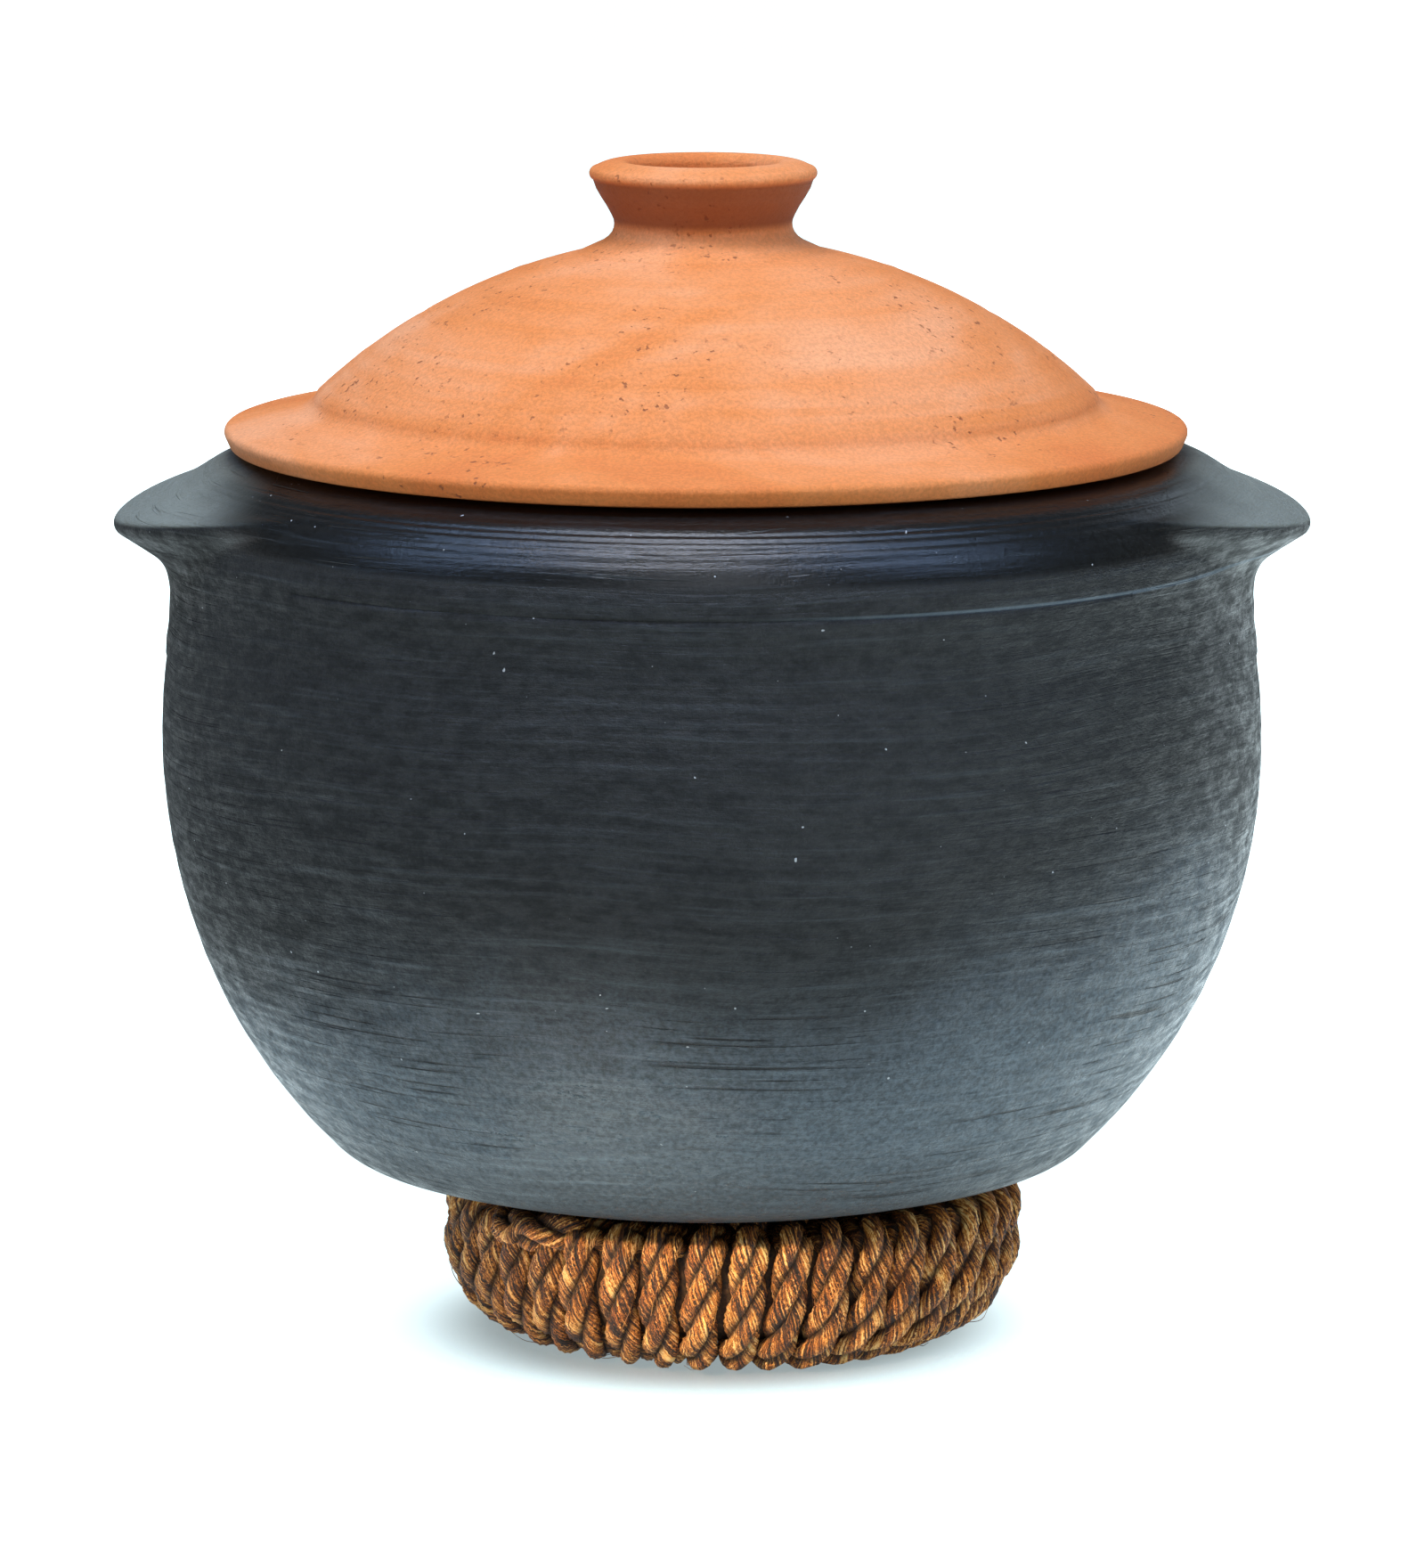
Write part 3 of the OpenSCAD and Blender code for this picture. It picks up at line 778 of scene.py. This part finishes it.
def lay_strand(bm, which, length, point_at, sides, step, seed, squeezed):
    """Lays one strand of the rope along point_at: it turns with the rope, and its yarns turn against it."""
    lay = bm.verts.layers.float_vector["fibre_lay"]
    height = bm.verts.layers.float["rope_height"]
    places = {}
    for vert, along, around in rolled(bm, int(length / step), sides):
        s = along * length
        key = round(along * 1e6)
        if key not in places:
            here, side, out = across_rope(point_at, s)
            reach = math.hypot(here.x - RING_X, here.y)
            room = min(math.tau * reach / TURNS / (ROPE_D * 0.98), 1.0) if squeezed else 1.0
            fat = 1.0 + 0.12 * noise.noise(Vector((s / 9.0, seed, 0.0)))
            turn = math.tau * (which / 3 + s / LAY_LENGTH)
            places[key] = (here, side * room, out, fat, math.cos(turn), math.sin(turn))
        here, side, out, fat, ca, sa = places[key]
        yarn = around + s * math.tau / YARN_LENGTH
        bump = 0.045 * math.cos(7 * yarn)
        bump += 0.16 * noise.noise(Vector((s / 4.0, 2.6 * math.cos(yarn) + seed, 2.6 * math.sin(yarn))))
        wide = STRAND_R * fat * (1.0 + bump)
        y, z = wide * math.cos(around) + STRAND_OFFSET, wide * math.sin(around)
        # How far out from the rope's middle this point lies; the material paints shade in the grooves from it
        vert[height] = math.hypot(y, z) / ROPE_R
        spot = here + side * (y * ca - z * sa) + out * (y * sa + z * ca)
        vert[lay] = Vector((s, 2.4 * math.cos(yarn), 2.4 * math.sin(yarn) + 20.0 * which)) * MM
        vert.co = spot * MM


def rope_length():
    """Length of the whole rope, the wound part and the end, in mm."""
    return LOOP_LENGTH * TURNS + TAIL_LENGTH


def make_core(material):
    """The bundle of straw that the rope is wound round, painted dark as the shade seen between the turns."""
    count, inward = len(LOOP), 2.4
    outline = []
    for i in range(0, count, 4):
        (r0, z0), (r1, z1) = LOOP[i - 4], LOOP[(i + 4) % count]
        long = math.dist((r0, z0), (r1, z1))
        outline.append((LOOP[i][0] - inward * (z1 - z0) / long, LOOP[i][1] + inward * (r1 - r0) / long))
    bm = spun(outline, steps=144)
    bmesh.ops.translate(bm, vec=(RING_X * MM, 0, 0), verts=bm.verts)
    for vert in bm.verts:
        vert.co.z = min(vert.co.z, seat_height(vert.co.x / MM, vert.co.y / MM, ROPE_R) * MM)
    return finished("straw_core", bm, "trivet", "straw_core", material, "ring_core")


def make_strand(which, material, nodes):
    """One of the rope's three strands, through all its turns and its end."""
    bm = bmesh.new()
    bm.verts.layers.float_vector.new("fibre_lay")
    bm.verts.layers.float.new("rope_height")
    sides, step = ((22, 1.3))
    lay_strand(bm, which, LOOP_LENGTH * TURNS, winding_point, sides, step, 10.0 + which, True)
    lay_strand(bm, which, TAIL_LENGTH, tail_point, sides, step, 30.0 + which, False)
    bmesh.ops.remove_doubles(bm, verts=[v for v in bm.verts if v.is_boundary], dist=1e-7)
    bmesh.ops.holes_fill(bm, edges=[e for e in bm.edges if e.is_boundary], sides=0)
    bmesh.ops.recalc_face_normals(bm, faces=bm.faces)
    return finished(f"rope_strand_{which + 1}", bm, "trivet", "fibre_rope", material, *nodes)


def make_stray_fibres(material):
    """Loose fibres that have worked out of the rope and curl off it."""
    draw = random.Random(7)
    bm = bmesh.new()
    lay = bm.verts.layers.float_vector.new("fibre_lay")
    height = bm.verts.layers.float.new("rope_height")
    for number in range(STRAY_FIBRES):
        start = draw.uniform(0, LOOP_LENGTH * TURNS)
        turned = draw.uniform(-0.9, 0.9)
        long = draw.uniform(5, 13)
        sweep = draw.uniform(-0.35, 0.35)
        lift = draw.uniform(0.2, 1.2)
        thick = draw.uniform(0.10, 0.17)
        curl = draw.uniform(-1.2, 1.2)
        for vert, along, around in rolled(bm, 9, 3):
            s = start + long * along
            here, side, out = across_rope(winding_point, s)
            facing = turned + sweep * long * along * 0.35
            away = ROPE_R - 0.15 + lift * math.sin(math.pi * along) ** 2 * (0.6 + along)
            off = (out * math.cos(facing) + side * math.sin(facing)) * away
            middle = here + off + side * (curl * along * along)
            taper = thick * (1.0 - 0.6 * along)
            spot = middle + side * (taper * math.cos(around)) + out * (taper * math.sin(around))
            spot.z = max(spot.z, 0.3)
            spot.z = min(spot.z, seat_height(spot.x, spot.y, 0.2))
            vert[height] = 1.0
            vert[lay] = Vector((s + 50.0 * number, 0.2 * math.cos(around), 0.2 * math.sin(around))) * MM
            vert.co = spot * MM
    bmesh.ops.remove_doubles(bm, verts=[v for v in bm.verts if v.is_boundary], dist=1e-8)
    bmesh.ops.holes_fill(bm, edges=[e for e in bm.edges if e.is_boundary], sides=0)
    bmesh.ops.recalc_face_normals(bm, faces=bm.faces)
    return finished("stray_fibres", bm, "trivet", "fibre_rope", material)


# ---------------------------------------------------------------- stage, light and camera

def make_stage():
    """A sheet of white paper that glows a little, fading into a pale grey studio floor that glows less: both
    glows are painted light that falls on the pot.
    """
    bpy.ops.mesh.primitive_plane_add(size=60, location=(0, 0, 0))
    floor = bpy.context.object
    floor.name = "floor"
    made, tree = new_material("white_paper_on_grey_floor")
    place = add(tree, "ShaderNodeTexCoord").outputs["Object"]
    apart = add(tree, "ShaderNodeSeparateXYZ", {"Vector": place})
    # The paper widens with distance, and ends in front of the pot
    left = add(tree, "ShaderNodeMath", {
        0: apart.outputs["Y"], 1: 0.13, 2: apart.outputs["X"]}, operation="MULTIPLY_ADD")
    right = add(tree, "ShaderNodeMath", {
        0: apart.outputs["Y"], 1: -0.13, 2: apart.outputs["X"]}, operation="MULTIPLY_ADD")
    sides = add(tree, "ShaderNodeMath", {
        0: add(tree, "ShaderNodeMapRange", fade(left.outputs[0], -0.6, -0.21), **SOFT).outputs[0],
        1: add(tree, "ShaderNodeMapRange", fade(right.outputs[0], 1.1, 0.42), **SOFT).outputs[0]},
        operation="MULTIPLY").outputs[0]
    paper = add(tree, "ShaderNodeMath", {
        0: sides,
        1: add(tree, "ShaderNodeMapRange", fade(apart.outputs["Y"], -0.9, -0.27), **SOFT).outputs[0]},
        operation="MULTIPLY").outputs[0]
    # It glows more strongly beside the pot than before it: painted light
    painted_side_glow = add(tree, "ShaderNodeMath", {
        0: add(tree, "ShaderNodeMapRange", fade(apart.outputs["X"], 0.06, 0.22, 1.0, 2.0), **SOFT).outputs[0],
        1: add(
            tree, "ShaderNodeMapRange", fade(apart.outputs["X"], -0.1, -0.2, 1.0, 1.6), **SOFT).outputs[0]},
        operation="MULTIPLY").outputs[0]
    lit = add(tree, "ShaderNodeVectorMath", {
        0: (1.0, 1.2, 1.24), "Scale": painted_side_glow}, operation="SCALE").outputs[0]
    glow = add(tree, "ShaderNodeMix", {
        "Factor": paper, "A": (0.6, 0.6, 0.6, 1), "B": lit}, data_type="RGBA").outputs["Result"]
    # Painted shadow: the paper's glow is dimmed under the pot
    reach = add(tree, "ShaderNodeVectorMath", {0: place}, operation="LENGTH").outputs["Value"]
    shaded = add(tree, "ShaderNodeVectorMath", {
        0: glow,
        "Scale": add(tree, "ShaderNodeMapRange", fade(reach, 0.05, 0.08, 0.3, 1.0), **SOFT).outputs[0]},
        operation="SCALE").outputs[0]
    surface = add(tree, "ShaderNodeBsdfPrincipled", {
        "Base Color": (0.16, 0.16, 0.16, 1), "Roughness": 0.9, "Specular IOR Level": 0.0,
        "Emission Color": shaded, "Emission Strength": 0.98})
    add(tree, "ShaderNodeOutputMaterial", {"Surface": surface.outputs[0]})
    floor.data.materials.append(made)


def area_light(name, place, aim, width, height, power, colour="#ffffff", spread=180):
    data = bpy.data.lights.new(name, "AREA")
    data.shape = "RECTANGLE"
    data.size, data.size_y = width, height
    data.energy = power
    data.spread = math.radians(spread)
    data.color = linear(colour)[:3]
    lamp = bpy.data.objects.new(name, data)
    lamp.location = place
    lamp.rotation_euler = (Vector(aim) - Vector(place)).to_track_quat("-Z", "Y").to_euler()
    bpy.context.scene.collection.objects.link(lamp)


def make_lights():
    world = bpy.data.worlds.new("studio")
    bpy.context.scene.world = world
    world.use_nodes = True
    world.node_tree.nodes["Background"].inputs["Color"].default_value = (1, 1, 1, 1)
    world.node_tree.nodes["Background"].inputs["Strength"].default_value = 0.12
    middle = (0, 0, 0.16)
    area_light("top_softbox", (-0.12, -0.38, 1.55), (0, 0, 0.2), 0.7, 0.6, 13, "#fff8f0")
    area_light("shoulder_strip", (-0.05, -0.36, 1.35), (0, 0, 0.2), 2.6, 0.14, 26, "#a9cbff")
    area_light("front_softbox", (0.0, -1.4, 0.95), middle, 0.5, 0.5, 4, "#eaf2ff")
    area_light("right_strip", (0.75, 1.05, 0.45), middle, 0.25, 0.9, 1.2, "#cfe2f4")
    area_light("rope_spot", (-0.45, -1.1, 0.62), (0, -0.06, 0.015), 0.05, 0.03, 0.042, "#ffe6c4", 6)


def make_camera():
    """At the height and distance of the view: 10 degrees above level, 1.8 m from the pot's axis."""
    distance, lift, aim_z, seen = 1.8, math.radians(10), 0.131, 0.3721
    data = bpy.data.cameras.new("camera")
    data.sensor_width = 36.0
    data.lens = data.sensor_width * distance / seen
    lens = bpy.data.objects.new("camera", data)
    lens.location = (0, -distance * math.cos(lift), aim_z + distance * math.sin(lift))
    lens.rotation_euler = (math.pi / 2 - lift, 0, 0)
    bpy.context.scene.collection.objects.link(lens)
    bpy.context.scene.camera = lens


# ---------------------------------------------------------------- the whole pot

bpy.context.scene.view_settings.view_transform = "Standard"
make_camera()
make_stage()
make_lights()

clay = black_clay()
lid_clay = terracotta()
rope = palm_rope()

make_bowl(clay)
make_shoulder(clay)
make_lug("lug_of_left_side", -1, "lug_left", clay)
make_lug("lug_of_right_side", 1, "lug_right", clay)
make_lid(lid_clay)
make_knob(lid_clay)
make_stray_fibres(rope)
for strand in range(3):
    make_strand(strand, rope, ["rope_winding"] if strand == 0 else [])
make_core(straw())

print(f"rope length {rope_length():.0f} mm")
